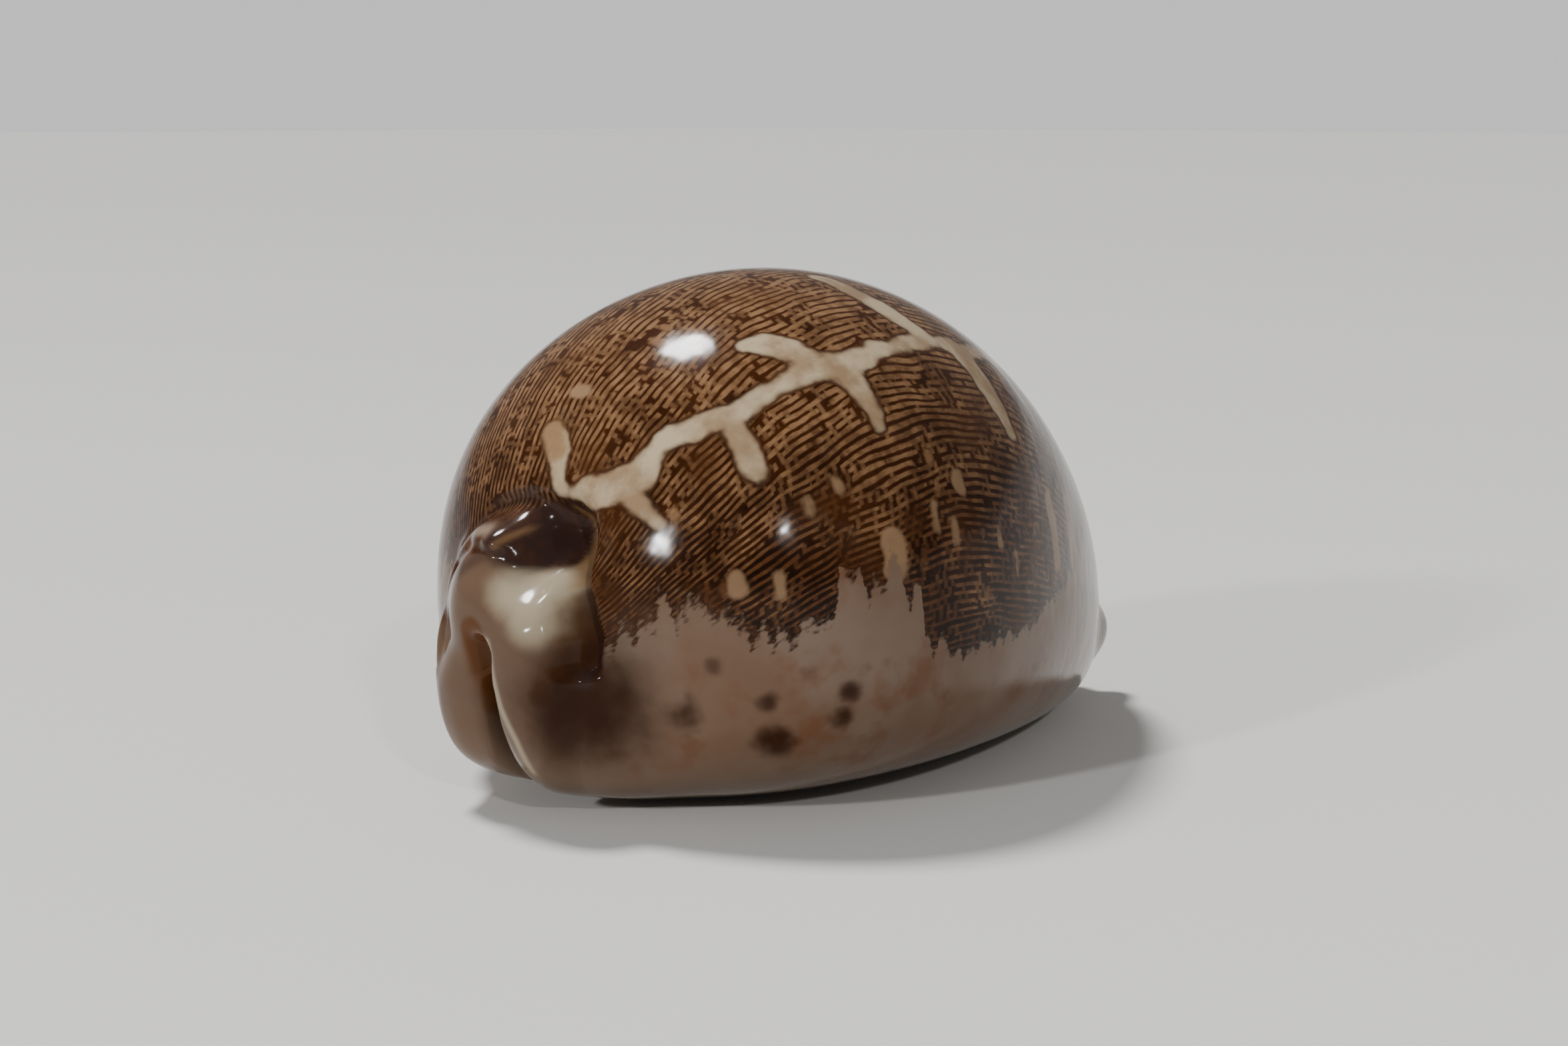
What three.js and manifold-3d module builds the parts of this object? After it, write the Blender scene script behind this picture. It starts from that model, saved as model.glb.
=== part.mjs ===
// A map cowrie: one hollow, glossy sea shell that lies on its flattened base.
// Millimetres, +Z up through the back of the shell, +X towards its front (anterior) tip.
// The outer lip is on the -Y side. The toothed slot under the shell opens into the hollow body.

import * as THREE from "three";
import { mergeVertices } from "three/addons/utils/BufferGeometryUtils.js";
import Module from "manifold-3d";

const wasm = await Module();
wasm.setup();

// Driving dimensions
const BODY_LENGTH = 72.6; // tip to tip, without the lobes that stand out at both ends
const LIP_SIDE_WIDTH = 26; // widest reach of the outer lip's side from the axis
const INNER_SIDE_WIDTH = 25.4; // widest reach of the other side
const HEIGHT = 43.6; // before the base is levelled
const BASE_FLAT = 0.4; // how much of the underside's curve is level
const WALL = 2; // thickness over the back
const LIP_DEPTH = 4; // thickness of the rolled lips under the shell
const LIP_ROUNDING = 1.5;
const SLOT_WIDTH = 3.6; // between the lips at their widest, without the teeth
const SLOT_END = 0.988; // how far along the half-length the slot keeps its full depth
const OUTER_LIP_TEETH = 30;
const INNER_LIP_TEETH = 26;

// How the body tapers: negative values make the front end the slimmer one
const LIP_SIDE_TAPER = -0.45;
const INNER_SIDE_TAPER = -0.42;
const BACK_TAPER = -0.15;
const REAR_TIP_HEIGHT = 15.8;
const WIDEST_HEIGHT = 16;
const FRONT_TIP_HEIGHT = 8;
const BACK_SQUARENESS = 0.15;
const BASE_SQUARENESS = 0.22;

// The rear end: lobes, collar and cleft as chains of (y, z) places on its face
const OUTER_LOBE = [[1.8, 17.8], [-1.2, 17.2], [-2.8, 15.4], [-3.3, 12], [-4.4, 6]];
const INNER_LOBE = [[5.8, 10], [6, 6.5]];
const COLLAR = [[8.6, 12], [9, 17], [7.8, 21.2], [5.4, 23.5], [2.4, 24], [-0.4, 23.2], [-2, 21.4]];
const SIDE_CLEFT = [[-5.6, 21], [-7, 18.6], [-7.9, 16], [-7.7, 14.2], [-8, 12.6]];
const SLOT_CREASE = [[1.2, 10.5], [1, 12.8], [0.6, 14.4]];
const SNOUT = { y: 0.8, z: 12.5, reachY: 8.3, reachZ: 12, height: 1.4 };
const SPIRE_PIT = { y: -3.4, z: 22.7, reachY: 2.9, reachZ: 3.2, depth: 5 };

// The front end
const FRONT_LOBES = [
  { y: -2.8, z: 6.4, reachY: 2.6, reachZ: 3.6, height: 3 },
  { y: 3, z: 6, reachY: 2.6, reachZ: 3.2, height: 2.4 },
];

// Surface grid
const RINGS = 64;
const OUTER_STEPS = 38;
const LIP_STEPS = 4;
const HOLLOW_STEPS = 12;
const RING_STEPS = OUTER_STEPS + 2 * LIP_STEPS + HOLLOW_STEPS;
const REAR_DENSITY = 1.3; // over 1 puts more rings at the rear, where the lobes are

const mix = THREE.MathUtils.lerp;
const clamp = THREE.MathUtils.clamp;

const smooth = (low, high, value) => {
  const share = clamp((value - low) / (high - low), 0, 1);
  return share * share * (3 - 2 * share);
};

const hump = (ratio) => Math.exp(-(Math.abs(ratio) ** 2.6));

const ovalRatio = (y, z, oval) => Math.hypot((y - oval.y) / oval.reachY, (z - oval.z) / oval.reachZ);

// Half-size of an egg-shaped outline at a place along the axis, as a share of its widest
function egg(along, taper) {
  const widest = (-1 + Math.sqrt(1 + 8 * taper * taper)) / (4 * taper);
  const size = (at) => Math.sqrt(Math.max(0, 1 - at * at)) * (1 + taper * at);
  return size(along) / size(widest);
}

// The base is level over most of the length and turns up at both ends
function levelBase(along) {
  const square = along * along;
  return Math.sqrt(Math.max(0, 1 - square)) * (1 + 0.5 * square + 0.375 * square * square);
}

// The plain egg body. Along runs from -1 at the rear to 1 at the front. Turn goes about the axis:
// 0 under the shell, a quarter on the outer lip's side, a half on the back.
function plainBody(along, turn, inset = 0) {
  const sine = Math.sin(turn);
  const cosine = Math.cos(turn);
  const lipSide = Math.max(0, LIP_SIDE_WIDTH * egg(along, LIP_SIDE_TAPER) - 1.3 * inset);
  const innerSide = Math.max(0, INNER_SIDE_WIDTH * egg(along, INNER_SIDE_TAPER) - 1.3 * inset);
  const tipHeight = mix(REAR_TIP_HEIGHT, FRONT_TIP_HEIGHT, (along + 1) / 2);
  const meanTip = (REAR_TIP_HEIGHT + FRONT_TIP_HEIGHT) / 2;
  const middle = tipHeight + (WIDEST_HEIGHT - meanTip) * (1 - along * along);
  const above = Math.max(0, (HEIGHT - WIDEST_HEIGHT) * egg(along, BACK_TAPER) - inset);
  const below = Math.max(0, middle * levelBase(along) - 2.2 * inset);
  const halfWidth = (lipSide + innerSide) / 2 + ((lipSide - innerSide) / 2) * sine;
  const square = mix(BACK_SQUARENESS, BASE_SQUARENESS, (1 + cosine) / 2);
  return new THREE.Vector3(
    (BODY_LENGTH / 2) * along,
    -halfWidth * sine * (1 + square * cosine * cosine),
    middle - ((above + below) / 2) * cosine + ((above - below) / 2) * cosine * cosine,
  );
}

function outward(along, turn) {
  const step = 1e-3;
  const inside = clamp(along, -1 + 2 * step, 1 - 2 * step);
  const lengthwise = plainBody(inside + step, turn).sub(plainBody(inside - step, turn));
  const around = plainBody(inside, turn + step).sub(plainBody(inside, turn - step));
  return lengthwise.cross(around).normalize();
}

// How far a place on the rear face is from a chain, and how far along the chain it lies
function fromChain(y, z, chain) {
  let gap = Infinity;
  let place = 0;
  for (let i = 0; i + 1 < chain.length; i += 1) {
    const [fromY, fromZ] = chain[i];
    const runY = chain[i + 1][0] - fromY;
    const runZ = chain[i + 1][1] - fromZ;
    const raw = ((y - fromY) * runY + (z - fromZ) * runZ) / (runY * runY + runZ * runZ);
    const share = clamp(raw, 0, 1);
    const here = Math.hypot(y - fromY - share * runY, z - fromZ - share * runZ);
    if (here < gap) {
      gap = here;
      place = (i + share) / (chain.length - 1);
    }
  }
  return { gap, place };
}

// How far the rear face stands out beyond the plain body
function rearRise(y, z) {
  const collar = fromChain(y, z, COLLAR);
  const cleft = fromChain(y, z, SIDE_CLEFT);
  const collarEnds = smooth(-0.05, 0.12, collar.place) * smooth(1.02, 0.9, collar.place);
  const within = ovalRatio(y, z, SNOUT);
  let rise = SNOUT.height * smooth(1.06, 0.86, within);
  rise += 2.9 * hump(fromChain(y, z, OUTER_LOBE).gap / 4.9);
  rise += 2.5 * hump(fromChain(y, z, INNER_LOBE).gap / 4.2);
  rise += 1.4 * hump(collar.gap / 1.1) * collarEnds;
  rise -= 0.7 * hump((within - 1.14) / 0.07) * smooth(8, 14, z) * smooth(-6, -2, y);
  rise -= 2.6 * hump(cleft.gap / 0.9) * smooth(1, 0.75, cleft.place);
  rise -= 1.8 * hump(fromChain(y, z, SLOT_CREASE).gap / 1.3);
  rise -= SPIRE_PIT.depth * hump(ovalRatio(y, z, SPIRE_PIT));
  return rise;
}

// The outside of the shell: the plain body with the lobes, collar, clefts and pit of its ends
function outside(along, turn) {
  const point = plainBody(along, turn);
  const { y, z } = point;
  if (along < 0) {
    const face = smooth(-0.62, -0.86, along);
    point.x -= face * rearRise(y, z);
    const low = face * smooth(13, 3, z);
    const outerFoot = hump(fromChain(y, z, OUTER_LOBE).gap / 6);
    const innerFoot = 1.1 * hump(fromChain(y, z, INNER_LOBE).gap / 5);
    point.addScaledVector(outward(along, turn), low * (outerFoot + innerFoot));
  } else {
    const face = smooth(0.7, 0.92, along);
    for (const lobe of FRONT_LOBES) {
      point.x += face * lobe.height * hump(ovalRatio(y, z, lobe));
    }
  }
  point.z = Math.max(0, point.z - BASE_FLAT);
  return point;
}

// The middle line of the slot across the base, and half the slot's width
function slotCentre(along) {
  return -1.6 + 2.6 * smooth(-0.5, -1, along) + 1.2 * smooth(0.5, 1, along);
}

function slotFade(along) {
  return smooth(1, SLOT_END, Math.abs(along));
}

function slotHalf(along) {
  return slotFade(along) * (SLOT_WIDTH / 2) * (0.75 + 0.5 * Math.max(0, along) * (1 - along));
}

// The turn about the axis at which the base is so far to the side of the slot's middle line
function slotTurn(along, offset) {
  const across = slotCentre(along) + offset;
  const lipSide = LIP_SIDE_WIDTH * egg(along, LIP_SIDE_TAPER);
  const innerSide = INNER_SIDE_WIDTH * egg(along, INNER_SIDE_TAPER);
  const side = across > 0 ? innerSide : lipSide;
  return Math.asin(-across / (side * (1 + BASE_SQUARENESS) + 3));
}

// The wall of the hollow, from the inner lip round to the outer lip.
// Towards both ends of the shell it closes to the bottom of a groove.
function hollowPoint(along, share) {
  const half = slotHalf(along);
  const centreTurn = slotTurn(along, 0);
  const groove = outside(along, centreTurn);
  const depth = LIP_DEPTH * slotFade(along) + half * 1.4 * Math.sin(Math.PI * share);
  groove.addScaledVector(outward(along, centreTurn), -depth);
  groove.y += half * 0.9 * Math.cos(Math.PI * share);
  const gapTurn = Math.asin((half + 0.4) / 20);
  const turn = centreTurn + mix(2 * Math.PI - gapTurn, gapTurn, share);
  const room = plainBody(along * 0.94, turn, WALL);
  return groove.lerp(room, smooth(0.96, 0.66, Math.abs(along)));
}

// The rolled edge of one lip, from the outside to the hollow: -1 is the outer lip, 1 the inner one
function lipPoint(along, side, share) {
  const half = slotHalf(along);
  const centreTurn = slotTurn(along, 0);
  const edge = outside(along, slotTurn(along, side * (half + LIP_ROUNDING * slotFade(along))));
  const corner = outside(along, slotTurn(along, side * half * 0.7));
  const deep = corner.clone();
  deep.addScaledVector(outward(along, centreTurn), -0.85 * LIP_DEPTH * slotFade(along));
  deep.y = outside(along, centreTurn).y + side * half * 0.9;
  const end = hollowPoint(along, side > 0 ? 0 : 1);
  return new THREE.CubicBezierCurve3(edge, corner, deep, end).getPoint(share);
}

// One ring of the surface: over the outside, round the inner lip, through the hollow and
// back round the outer lip
function ringPoint(along, step) {
  if (step <= OUTER_STEPS) {
    const reach = slotHalf(along) + LIP_ROUNDING * slotFade(along);
    const start = slotTurn(along, -reach);
    const end = 2 * Math.PI + slotTurn(along, reach);
    const share = step / OUTER_STEPS;
    const spread = share - 0.055 * Math.sin(2 * Math.PI * share);
    return outside(along, mix(start, end, spread));
  }
  const afterLip = step - OUTER_STEPS - LIP_STEPS;
  if (afterLip < 0) {
    return lipPoint(along, 1, (step - OUTER_STEPS) / LIP_STEPS);
  }
  if (afterLip <= HOLLOW_STEPS) {
    return hollowPoint(along, afterLip / HOLLOW_STEPS);
  }
  return lipPoint(along, -1, (RING_STEPS - step) / LIP_STEPS);
}

// A sphere whose rings are laid round the shell's section, one after another along the axis
function shellGeometry() {
  const geometry = new THREE.SphereGeometry(1, RING_STEPS, RINGS);
  const places = geometry.attributes.position;
  for (let ring = 0; ring <= RINGS; ring += 1) {
    const along = -Math.cos(Math.PI * (ring / RINGS) ** REAR_DENSITY);
    const atPole = ring === 0 || ring === RINGS;
    for (let step = 0; step <= RING_STEPS; step += 1) {
      const point = atPole ? outside(along, 0) : ringPoint(along, step % RING_STEPS);
      places.setXYZ(ring * (RING_STEPS + 1) + step, point.x, point.y, point.z);
    }
  }
  return geometry;
}

function solidFrom(geometry) {
  geometry.deleteAttribute("normal");
  geometry.deleteAttribute("uv");
  const merged = mergeVertices(geometry, 1e-4);
  return new wasm.Manifold(
    new wasm.Mesh({
      numProp: 3,
      vertProperties: new Float32Array(merged.attributes.position.array),
      triVerts: new Uint32Array(merged.index.array),
    }),
  );
}

// A row of short bars over the rolled edge of one lip: -1 is the outer lip, 1 the inner one
function teethOn(side, count) {
  const bars = [];
  for (let i = 0; i < count; i += 1) {
    const along = mix(-0.84, 0.87, i / (count - 1));
    const half = slotHalf(along);
    const edge = outside(along, slotTurn(along, side * (half + LIP_ROUNDING)));
    const bar = new THREE.SphereGeometry(1, 5, 3);
    bar.rotateZ(Math.PI / 2);
    bar.scale(0.5, 1.5, 0.95);
    bar.translate(edge.x, slotCentre(along) + side * (half + 0.75), edge.z + 1);
    bars.push(solidFrom(bar));
  }
  return bars;
}

let solid = solidFrom(shellGeometry());
for (const bar of [...teethOn(-1, OUTER_LIP_TEETH), ...teethOn(1, INNER_LIP_TEETH)]) {
  solid = solid.add(bar);
}

const faces = solid.getMesh();
const geometry = new THREE.BufferGeometry();
geometry.setAttribute("position", new THREE.BufferAttribute(new Float32Array(faces.vertProperties), 3));
geometry.setIndex(new THREE.BufferAttribute(new Uint32Array(faces.triVerts), 1));
geometry.computeVertexNormals();

const glaze = new THREE.MeshStandardMaterial({ color: "#6a4228", roughness: 0.12, metalness: 0 });
const shell = new THREE.Mesh(geometry, glaze);
shell.name = "shell";

// The middle of the shell's length and width stands over the origin
geometry.computeBoundingBox();
const middle = geometry.boundingBox.getCenter(new THREE.Vector3());
shell.position.set(-middle.x, -middle.y, 0);

const cowrie = new THREE.Group();
cowrie.name = "map_cowrie";
cowrie.add(shell);

export default cowrie;
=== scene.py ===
"""A map cowrie on a pale floor: one glossy, hollow shell, seen from its rear corner.

The shell's outside is an egg-shaped body with lobes, a collar and a pit at its rear, and two
short lobes at its front. Sizes are in millimetres until the mesh is made, then in metres.
"""

import math

import bmesh
import bpy
import numpy as np
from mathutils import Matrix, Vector


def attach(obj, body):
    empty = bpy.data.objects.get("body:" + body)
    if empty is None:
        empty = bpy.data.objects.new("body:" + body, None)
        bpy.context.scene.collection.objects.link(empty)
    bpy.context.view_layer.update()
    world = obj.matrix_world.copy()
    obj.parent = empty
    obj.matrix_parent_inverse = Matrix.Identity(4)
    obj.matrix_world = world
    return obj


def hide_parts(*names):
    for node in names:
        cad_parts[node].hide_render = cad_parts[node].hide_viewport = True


bl_info = {
    "name": "Map Cowrie",
    "version": (1, 0, 0),
    "blender": (4, 5, 0),
    "location": "View3D > Sidebar > Cowrie",
    "description": "Builds a glossy cowrie shell with its markings, and a plain stage for it",
    "category": "Add Mesh",
}

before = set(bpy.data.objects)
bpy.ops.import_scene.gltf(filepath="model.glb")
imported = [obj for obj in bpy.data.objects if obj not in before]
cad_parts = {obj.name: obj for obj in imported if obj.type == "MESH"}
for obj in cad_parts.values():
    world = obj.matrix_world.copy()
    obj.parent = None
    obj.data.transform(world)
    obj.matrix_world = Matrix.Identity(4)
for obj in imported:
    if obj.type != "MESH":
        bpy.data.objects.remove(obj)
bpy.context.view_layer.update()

MM = 0.001

# The body
BODY_LENGTH = 72.6
LIP_SIDE_WIDTH = 26.0
INNER_SIDE_WIDTH = 25.4
HEIGHT = 43.6
BASE_FLAT = 0.4
WALL = 2.0
LIP_DEPTH = 4.0
LIP_ROUNDING = 1.5
SLOT_WIDTH = 3.6
SLOT_END = 0.988
LIP_SIDE_TAPER = -0.45
INNER_SIDE_TAPER = -0.42
BACK_TAPER = -0.15
REAR_TIP_HEIGHT = 15.8
WIDEST_HEIGHT = 16.0
FRONT_TIP_HEIGHT = 8.0
BACK_SQUARENESS = 0.15
BASE_SQUARENESS = 0.22
BASE_MIDDLE = Vector((0.98, 0.33, 0.0))  # from the axis to the middle of the base

# The rear end, as chains of (across, up) places on its face
OUTER_LOBE = ((1.8, 17.8), (-1.2, 17.2), (-2.8, 15.4), (-3.3, 12.0), (-4.4, 6.0))
INNER_LOBE = ((5.8, 10.0), (6.0, 6.5))
COLLAR = (
    (8.6, 12.0),
    (9.0, 17.0),
    (7.8, 21.2),
    (5.4, 23.5),
    (2.4, 24.0),
    (-0.4, 23.2),
    (-2.0, 21.4),
)
SIDE_CLEFT = ((-5.6, 21.0), (-7.0, 18.6), (-7.9, 16.0), (-7.7, 14.2), (-8.0, 12.6))
SLOT_CREASE = ((1.2, 10.5), (1.0, 12.8), (0.6, 14.4))

# Ovals on the rear face: across, up, reach across, reach up
SNOUT = (0.8, 12.5, 8.3, 12.0)
SPIRE_PIT = (-3.4, 22.7, 2.9, 3.2)

# How far the rear's forms stand out or sink in, and how far they reach to each side
SNOUT_RISE = 1.4
OUTER_LOBE_RISE, OUTER_LOBE_REACH = 2.9, 4.9
INNER_LOBE_RISE, INNER_LOBE_REACH = 2.5, 4.2
COLLAR_RISE, COLLAR_REACH = 1.4, 1.1
GROOVE_DEPTH = 0.7
CLEFT_DEPTH, CLEFT_REACH = 2.6, 0.9
CREASE_DEPTH, CREASE_REACH = 1.8, 1.3
PIT_DEPTH = 5.0

# The front end's lobes: across, up, reach across, reach up, height
FRONT_LOBES = ((-2.8, 6.4, 2.6, 3.6, 3.0), (3.0, 6.0, 2.6, 3.2, 2.4))

# The mesh: rings along the shell and steps round each ring
RINGS = 270
RING_STEPS = 348
REAR_DENSITY = 1.3
OUTSIDE_SHARE = 0.72
LIP_SHARE = 0.07
OUTER_LIP_TEETH = 30
INNER_LIP_TEETH = 26
TOOTH_HEIGHT = 1.3

# The broad pale line on the outer lip's side and its branches, as (mm along the axis, degrees
# about it from below, half-width)
PALE_LINE = (
    (-34.0, 163, 1.3),
    (-33.1, 153, 1.5),
    (-31.7, 147, 1.6),
    (-30.2, 150, 1.0),
    (-28.3, 147, 1.3),
    (-25.5, 144, 1.2),
    (-21.9, 144, 1.0),
    (-18.6, 144, 1.3),
    (-15.4, 143, 1.4),
    (-9.6, 144, 1.0),
    (-5.7, 145, 1.0),
    (-1.9, 146, 0.9),
    (2.5, 145, 1.1),
    (9.0, 149, 0.9),
    (16.0, 155, 1.0),
    (24.0, 168, 0.8),
)
PALE_BRANCHES = (
    ((-26.4, 142, 1.2), (-26.5, 135, 1.1), (-26.8, 129, 0.9)),
    ((-15.8, 141, 1.3), (-15.9, 136, 1.1), (-15.8, 129, 0.7)),
    ((1.4, 144, 2.0), (2.0, 136, 1.9), (2.8, 127, 1.2)),
    ((-32.7, 148, 1.1), (-32.7, 140, 1.0), (-32.3, 130, 0.5)),
    ((-21.0, 156, 0.9), (-19.5, 153, 1.6), (-18.2, 149, 1.3), (-18.4, 145, 1.2)),
    ((-31.7, 183, 1.3), (-32.6, 177, 1.3), (-33.7, 172, 0.7), (-34.1, 166, 1.0)),
    ((9.0, 149, 0.9), (11.0, 138, 0.8), (12.5, 130, 0.5)),
    ((-6.4, 168, 1.3), (-5.9, 161, 1.5), (-5.0, 154, 1.5), (-3.2, 147, 1.4)),
)

# Pale drops among the fine lines, as (mm along the axis, first and last degrees, half-width)
PALE_DROPS = (
    (-29.7, 103, 106, 0.7),
    (-27.3, 100, 104, 0.6),
    (-24.2, 116, 119, 0.6),
    (-21.7, 119, 121, 0.4),
    (-18.0, 101, 107, 1.2),
    (-13.1, 108, 112, 0.5),
    (-11.0, 105, 109, 0.5),
    (-9.1, 115, 117, 0.7),
    (-4.6, 103, 106, 0.4),
    (-2.0, 96, 101, 0.4),
    (7.6, 100, 112, 1.1),
    (13.6, 98, 113, 1.3),
    (-29.2, 180, 182, 0.7),
)

ROW_PITCH = 0.74  # between the fine lines where the shell is widest

# The lower edge of the dark markings, as (mm along the axis, degrees about it)
LIP_SIDE_EDGE = (
    (-35.5, 78),
    (-34.3, 100),
    (-33.0, 104),
    (-31.7, 105),
    (-30.1, 98),
    (-29.0, 92),
    (-26.0, 93),
    (-23.6, 95),
    (-23.0, 106),
    (-22.0, 106),
    (-21.0, 100),
    (-19.4, 99),
    (-18.5, 105),
    (-17.8, 104),
    (-17.2, 96),
    (-16.4, 97),
    (-15.9, 102),
    (-15.4, 86),
    (-10.9, 83),
    (-7.5, 84),
    (0.9, 86),
    (4.2, 91),
    (10.0, 96),
    (19.0, 111),
    (27.0, 128),
    (34.0, 160),
    (36.0, 185),
)
INNER_SIDE_EDGE = (
    (-35.5, 235),
    (-33.0, 252),
    (-26.0, 262),
    (-18.0, 266),
    (-8.0, 270),
    (2.0, 266),
    (12.0, 258),
    (20.0, 244),
    (28.0, 226),
    (34.0, 200),
    (36.0, 175),
)

# Soft brown stains on the margin, and brown shade painted low on the rear, as (mm along the axis,
# degrees about it, reach in mm, strength)
MARGIN_STAINS = (
    (-27.9, 72, 1.2, 0.75),
    (-22.1, 75, 1.2, 0.8),
    (-22.3, 68, 1.3, 0.8),
    (-26.4, 59, 1.9, 0.85),
    (-32.0, 62, 2.0, 0.6),
    (-30.9, 83, 1.0, 0.6),
    (-25.6, 81, 1.0, 0.35),
    (-21.0, 81, 1.0, 0.3),
    (-16.5, 76, 0.9, 0.3),
    (-11.1, 72, 1.3, 0.3),
    (-5.0, 74, 1.1, 0.3),
    (3.0, 73, 1.3, 0.35),
    (11.0, 76, 1.1, 0.3),
    (-28.0, 283, 1.8, 0.7),
    (-22.0, 290, 1.5, 0.8),
    (-14.0, 286, 1.3, 0.5),
    (-6.0, 292, 1.7, 0.7),
    (3.0, 288, 1.2, 0.5),
    (11.0, 285, 1.4, 0.5),
    (19.0, 280, 1.1, 0.4),
)
# Painted shade: brown darkening low on the rear's lip side, near the base
REAR_SHADE = (
    (-34.8, 50, 6.2, 0.9),
    (-34.6, 40, 4.6, 0.65),
    (-34.5, 58, 3.8, 0.85),
    (-35.2, 76, 2.4, 0.8),
)

# Colours on the rear face follow these chains of (across, up) places
CREAM_CAP = ((-2.6, 20.4), (-4.6, 19.6), (-5.6, 18.0))
# Partly painted light: the slot's orange-brown, made lighter where the slot lies in deep shadow
SLOT_BROWN = ((0.9, 15.4), (1.2, 12.2), (0.7, 9.5), (-0.2, 7.0), (-0.4, 3.5))
SLOT_RIM = ((-1.0, 15.5), (-1.3, 12.7), (-1.9, 10.2), (-3.1, 7.8), (-3.6, 5.5))
# Partly painted light: the flank's orange-brown, made lighter as it faces away into shade
BROWN_FLANK = ((-6.6, 19.2), (-7.3, 16.8), (-7.2, 14.0), (-6.0, 11.6))
COLLAR_STREAK = ((-0.3, 24.0), (0.6, 22.9))
# Painted shade: a dark line along the crease between collar and dome
DOME_CREASE = ((3.8, 20.8), (1.8, 22.1), (-0.8, 22.9))
PIT_SHADE = (-2.4, 23.7, 4.3, 2.9)  # an oval, as the spire pit is

# Tan lines near the pit, as (mm along the axis, degrees about it, half-width)
TAN_BLOB = ((-31.6, 183, 1.2), (-32.5, 178, 1.2))
PIT_EDGE = ((-34.4, 167, 0.3), (-35.1, 158, 0.35), (-35.5, 146, 0.4), (-35.5, 133, 0.5))

# How fine the glaze's textures are, in features per metre
GLAZE_WAVES = 190.0
EDGE_GRAIN = 420.0
WEAR_GRAIN = 900.0
TONE_DRIFT = 60.0
TONE_GRAIN = 260.0
RUST_CLOUDS = 130.0
MARGIN_CLOUDS = 90.0
WARM_CLOUDS = 210.0
CREAM_CLOUDS = 170.0
REAR_MOTTLE = 380.0
WAVE_STRENGTH, WAVE_DEPTH = 0.2, 0.0006  # of the glaze's waves; the depth is in metres

# The stage: lights by their direction from the shell, and the camera's lens and aim
SUN_DIRECTION = (0.04, 0.45, 0.89)
SUN_ANGLE = 11
LAMPS = {  # direction, size in metres, watts
    "rear_lamp": ((-0.94, -0.05, 0.35), 0.08, 9),
    "side_lamp": ((-0.45, -0.78, 0.44), 0.06, 4.5),
}
LAMP_DISTANCE = 1.3
HORIZON_BAND = (0.16, 0.03)  # upward part of a direction where the pale band ends and is full
FLOOR_ROUGHNESS = 0.8
LENS = 66.1
SENSOR_WIDTH = 36
NEAR_CLIP = 0.01
MIDDLE_HEIGHT = 0.02
AIM_SHIFT = (-0.00343, 0.00048)  # across and up in the picture, in metres


# Shape of the shell, in millimetres


def mix(start, end, share):
    return start + (end - start) * share


def smooth(low, high, value):
    share = np.clip((value - low) / (high - low), 0.0, 1.0)
    return share * share * (3 - 2 * share)


def hump(ratio):
    return np.exp(-np.abs(ratio) ** 2.6)


def oval_ratio(y, z, oval):
    return np.hypot((y - oval[0]) / oval[2], (z - oval[1]) / oval[3])


def egg(along, taper):
    """Half-size of an egg-shaped outline at a place along the axis, as a share of its widest."""
    widest = (-1 + math.sqrt(1 + 8 * taper * taper)) / (4 * taper)
    full = math.sqrt(1 - widest * widest) * (1 + taper * widest)
    return np.sqrt(np.maximum(0, 1 - along * along)) * (1 + taper * along) / full


def level_base(along):
    """The base is level over most of the length and turns up at both ends."""
    square = along * along
    return np.sqrt(np.maximum(0, 1 - square)) * (1 + 0.5 * square + 0.375 * square * square)


def plain_body(along, turn, inset=0.0):
    """The egg body at a place along the axis (-1 rear, 1 front) and a turn about it from below."""
    along, turn = np.broadcast_arrays(along, turn)
    sine, cosine = np.sin(turn), np.cos(turn)
    lip_side = np.maximum(0, LIP_SIDE_WIDTH * egg(along, LIP_SIDE_TAPER) - 1.3 * inset)
    inner_side = np.maximum(0, INNER_SIDE_WIDTH * egg(along, INNER_SIDE_TAPER) - 1.3 * inset)
    mean_tip = (REAR_TIP_HEIGHT + FRONT_TIP_HEIGHT) / 2
    tip = mix(REAR_TIP_HEIGHT, FRONT_TIP_HEIGHT, (along + 1) / 2)
    middle = tip + (WIDEST_HEIGHT - mean_tip) * (1 - along * along)
    above = np.maximum(0, (HEIGHT - WIDEST_HEIGHT) * egg(along, BACK_TAPER) - inset)
    below = np.maximum(0, middle * level_base(along) - 2.2 * inset)
    half_width = (lip_side + inner_side) / 2 + (lip_side - inner_side) / 2 * sine
    square = mix(BACK_SQUARENESS, BASE_SQUARENESS, (1 + cosine) / 2)
    x = BODY_LENGTH / 2 * along
    y = -half_width * sine * (1 + square * cosine**2)
    z = middle - (above + below) / 2 * cosine + (above - below) / 2 * cosine**2
    return np.stack((x, y, z), axis=-1)


def outward(along, turn):
    step = 1e-3
    inside = np.clip(along, -1 + 2 * step, 1 - 2 * step)
    lengthwise = plain_body(inside + step, turn) - plain_body(inside - step, turn)
    around = plain_body(inside, turn + step) - plain_body(inside, turn - step)
    normal = np.cross(lengthwise, around)
    return normal / np.linalg.norm(normal, axis=-1, keepdims=True)


def from_chain(y, z, chain):
    """How far places on the rear face are from a chain, and how far along the chain they lie."""
    gap = np.full(np.shape(y), np.inf)
    place = np.zeros(np.shape(y))
    for i, ((from_y, from_z), (to_y, to_z)) in enumerate(zip(chain, chain[1:])):
        run_y, run_z = to_y - from_y, to_z - from_z
        share = ((y - from_y) * run_y + (z - from_z) * run_z) / (run_y**2 + run_z**2)
        share = np.clip(share, 0, 1)
        here = np.hypot(y - from_y - share * run_y, z - from_z - share * run_z)
        place = np.where(here < gap, (i + share) / (len(chain) - 1), place)
        gap = np.minimum(gap, here)
    return gap, place


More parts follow.
